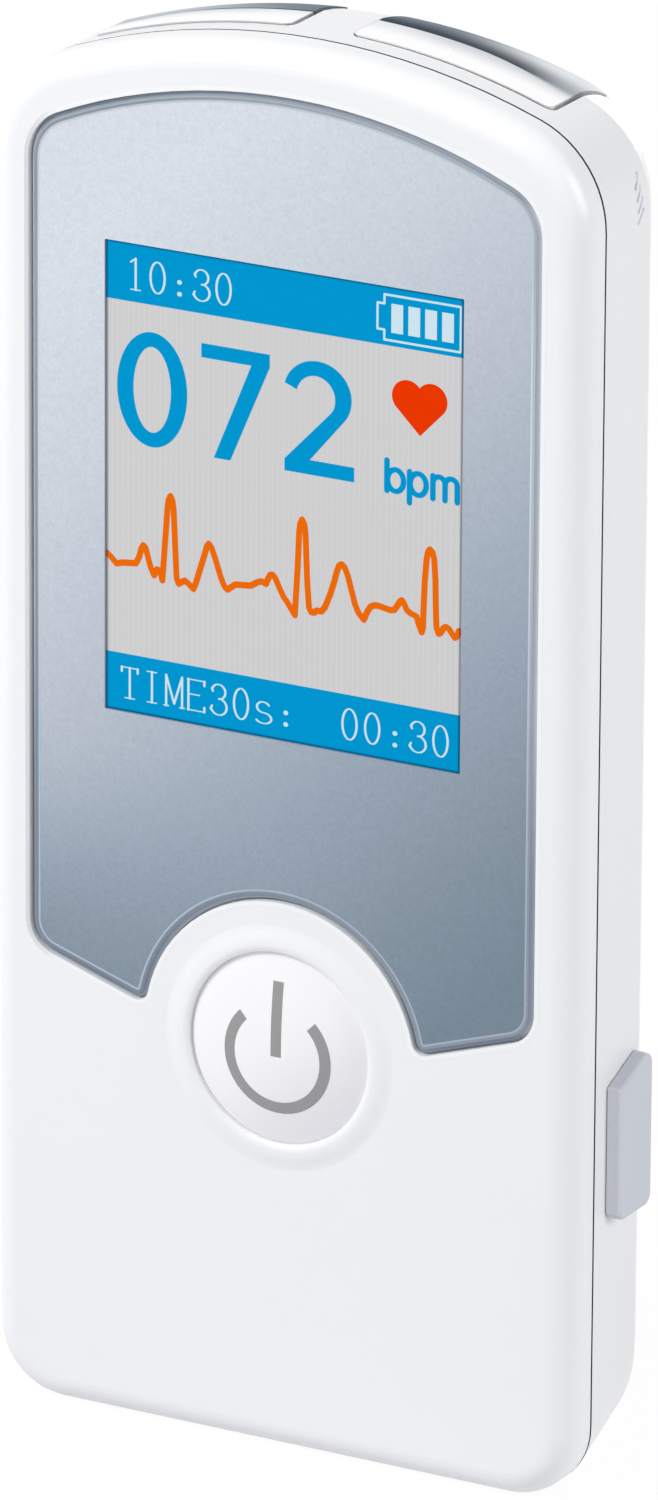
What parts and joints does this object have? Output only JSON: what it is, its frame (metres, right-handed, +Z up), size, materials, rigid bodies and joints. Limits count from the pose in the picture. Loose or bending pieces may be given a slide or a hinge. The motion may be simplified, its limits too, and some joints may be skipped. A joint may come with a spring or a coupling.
{
  "type": "handheld heart monitor",
  "caption": "Slim upright pocket heart monitor: arched white case with a colour screen, round power button, metal finger electrodes and a covered charging socket.",
  "frame": {"origin": "on the flat base, on the case's middle plane and 9 mm behind the front face", "axes": "+Z up the case towards the finger electrodes, -Y out of the display, +X to the right as the display is read"},
  "size_m": [0.0473, 0.0207, 0.1021],
  "materials": {
    "white_plastic": "satin white",
    "panel_film": "satin silver-blue",
    "adhesive": "matt",
    "window": "clear",
    "foam": "matt black foam",
    "glass": "clear",
    "tray": "matt",
    "ribbon": "satin amber",
    "connector": "matt",
    "keycap": "gloss white",
    "switch_metal": "plain",
    "board": "solder mask",
    "chip": "matt",
    "shield_can": "plain",
    "socket_metal": "plain",
    "cover_rubber": "soft pale grey",
    "electrode_metal": "satin bright",
    "contact_metal": "plated",
    "cell_foil": "foil",
    "lead_plastic": "insulated wire",
    "screw_steel": "plain"
  },
  "bodies": {
    "case": {"front_shell": "white_plastic", "rear_shell": "white_plastic", "face_panel": "panel_film", "panel_adhesive": "adhesive", "display_window": "window", "window_gasket": "foam", "lcd_glass": "glass", "backlight": "tray", "lcd_ribbon": "ribbon", "ribbon_socket": "connector", "switch_body": "switch_metal", "main_board": "board", "processor": "chip", "amplifier": "chip", "memory_chip": "chip", "radio_module": "shield_can", "buzzer": "chip", "usb_shell": "socket_metal", "usb_insulator": "connector", "usb_cover_anchor": "cover_rubber", "electrode_left": "electrode_metal", "electrode_right": "electrode_metal", "electrode_base": "electrode_metal", "electrode_contacts": "contact_metal", "battery_cell": "cell_foil", "battery_pad": "foam", "battery_leads": "lead_plastic", "battery_connector": "lead_plastic", "housing_screws": "screw_steel"},
    "power_button": {"power_button": "keycap"},
    "switch_plunger": {"switch_plunger": "connector"},
    "usb_cover": {"usb_cover": "cover_rubber"}
  },
  "joints": [
    {"name": "power_press", "type": "slide", "parent": "case", "child": "power_button", "axis": [0, 1, 0], "range_m": [0, 0.0003], "stiffness_N_per_m": 2500},
    {"name": "plunger_travel", "type": "slide", "parent": "case", "child": "switch_plunger", "axis": [0, 1, 0], "range_m": [0, 0.0003]},
    {"name": "usb_cover_swing", "type": "hinge", "parent": "case", "child": "usb_cover", "pos_m": [0.02313, -0.00175, 0.0313], "axis": [0, -1, 0], "range_deg": [0, 85]}
  ],
  "couplings": [
    {"joint": "plunger_travel", "follows": "power_press", "ratio": 1}
  ]
}
